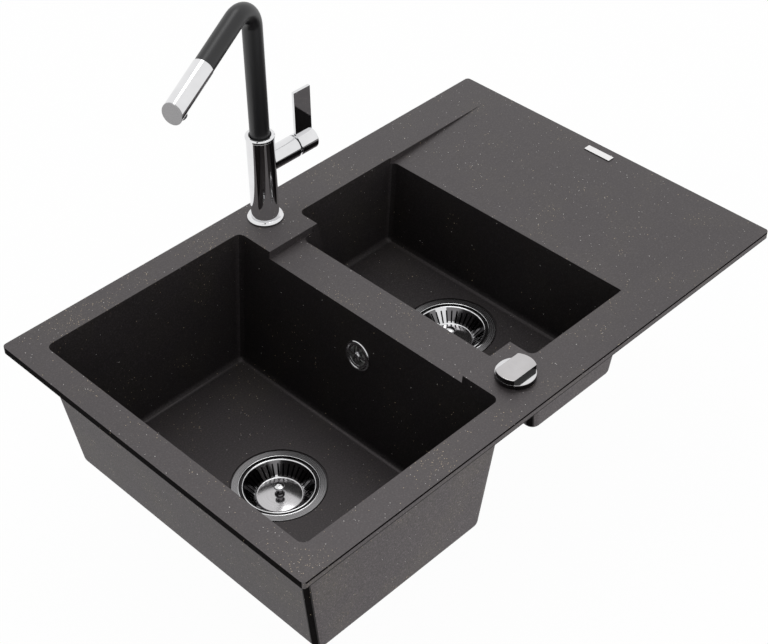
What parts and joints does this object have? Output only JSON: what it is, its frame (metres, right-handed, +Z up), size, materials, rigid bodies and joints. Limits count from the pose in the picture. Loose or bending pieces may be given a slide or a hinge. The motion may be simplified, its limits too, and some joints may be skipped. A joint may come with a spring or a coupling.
{
  "type": "one and a half bowl kitchen sink",
  "caption": "Dark composite drop-in kitchen sink with a deep main bowl, a shallower half bowl, a drainer, a pull-out tap, a turning waste knob and strainer wastes.",
  "frame": {"origin": "centre of the sealing strip's underside, the plane of the worktop", "axes": "+X along the sink towards the drainer, +Y from the front towards the tap, +Z up"},
  "size_m": [0.78, 0.5, 0.5851],
  "materials": {
    "granite": "satin, fine speckle",
    "polished_steel": "polished",
    "brushed_steel": "brushed",
    "chrome": "mirror",
    "satin_metal": "satin",
    "black_coat": "matte",
    "black_rubber": "matte",
    "foam": "matte",
    "white_plastic": "matte",
    "grey_plastic": "matte",
    "brass": "machined",
    "copper": "drawn"
  },
  "bodies": {
    "root": {"sink_rim": "granite", "divider": "granite", "drainer": "granite", "main_bowl_walls": "granite", "main_bowl_floor": "granite", "overflow_wall": "granite", "half_bowl_walls": "granite", "half_bowl_floor": "granite", "name_plate": "brushed_steel", "rim_seal": "foam", "seals": "black_rubber", "waste_flanges": "polished_steel", "waste_cups": "white_plastic", "cup_bridges": "white_plastic", "waste_tails": "white_plastic", "clamp_screws": "brass", "overflow_rose": "polished_steel", "overflow_screw": "brushed_steel", "overflow_elbow": "white_plastic", "overflow_pipe": "white_plastic", "overflow_nuts": "white_plastic", "knob_bush": "white_plastic", "deck_washers": "black_rubber", "knob_nut": "white_plastic", "cable_housing": "white_plastic", "cable_glands": "white_plastic", "tap_base_ring": "chrome", "tap_body": "chrome", "tap_collar": "chrome", "spout_bush": "white_plastic", "cartridge_housing": "white_plastic", "cartridge_nut": "brass", "trim_dome": "chrome", "tap_shank": "brass", "tap_nut": "brass", "supply_sockets": "copper"},
    "spout": {"spout_tube": "black_coat", "spout_end_bush": "white_plastic"},
    "spray": {"spray_head": "chrome", "spray_end_cap": "satin_metal", "aerator": "grey_plastic", "head_inlet": "brass", "spray_hose": "brushed_steel"},
    "rotor": {"cartridge_rotor": "white_plastic", "rotor_pin": "brushed_steel"},
    "lever": {"lever_stem": "brushed_steel", "lever_hub": "chrome", "lever_blade": "chrome", "lever_grub_screw": "brushed_steel"},
    "knob": {"knob": "chrome", "knob_grub_screw": "brushed_steel", "knob_spindle": "brass", "cable_drum": "white_plastic"},
    "lift_pin": {"lift_pin": "brushed_steel"},
    "main_strainer": {"main_basket": "polished_steel", "main_basket_knob": "chrome", "main_basket_seal": "black_rubber"},
    "half_strainer": {"half_basket": "polished_steel", "half_basket_knob": "chrome", "half_basket_seal": "black_rubber"}
  },
  "joints": [
    {"name": "spout_swivel", "type": "hinge", "parent": "root", "child": "spout", "pos_m": [-0.0185, 0.2157, 0.11], "axis": [0, 0, 1], "range_deg": [-18, 162]},
    {"name": "spray_pull", "type": "slide", "parent": "spout", "child": "spray", "axis": [-0.906, -0.2996, -0.299], "range_m": [0, 0.06]},
    {"name": "lever_temperature", "type": "hinge", "parent": "root", "child": "rotor", "pos_m": [0.0275, 0.2157, 0.0885], "axis": [1, 0, 0], "range_deg": [-45, 45]},
    {"name": "lever_flow", "type": "hinge", "parent": "rotor", "child": "lever", "pos_m": [0.0275, 0.2157, 0.0885], "axis": [0, 1, 0], "range_deg": [0, 16]},
    {"name": "waste_knob_turn", "type": "hinge", "parent": "root", "child": "knob", "pos_m": [-0.023, -0.2005, 0.01], "axis": [0, 0, 1], "range_deg": [0, 90]},
    {"name": "lift_pin_slide", "type": "slide", "parent": "root", "child": "lift_pin", "axis": [0, 0, 1], "range_m": [0, 0.008]},
    {"name": "main_strainer_lift", "type": "slide", "parent": "lift_pin", "child": "main_strainer", "axis": [0, 0, 1], "range_m": [0, 0.09]},
    {"name": "half_strainer_lift", "type": "slide", "parent": "root", "child": "half_strainer", "axis": [0, 0, 1], "range_m": [0, 0.09]}
  ],
  "couplings": [
    {"joint": "waste_knob_turn", "follows": "lift_pin_slide", "rad_per_m": 196.34}
  ]
}
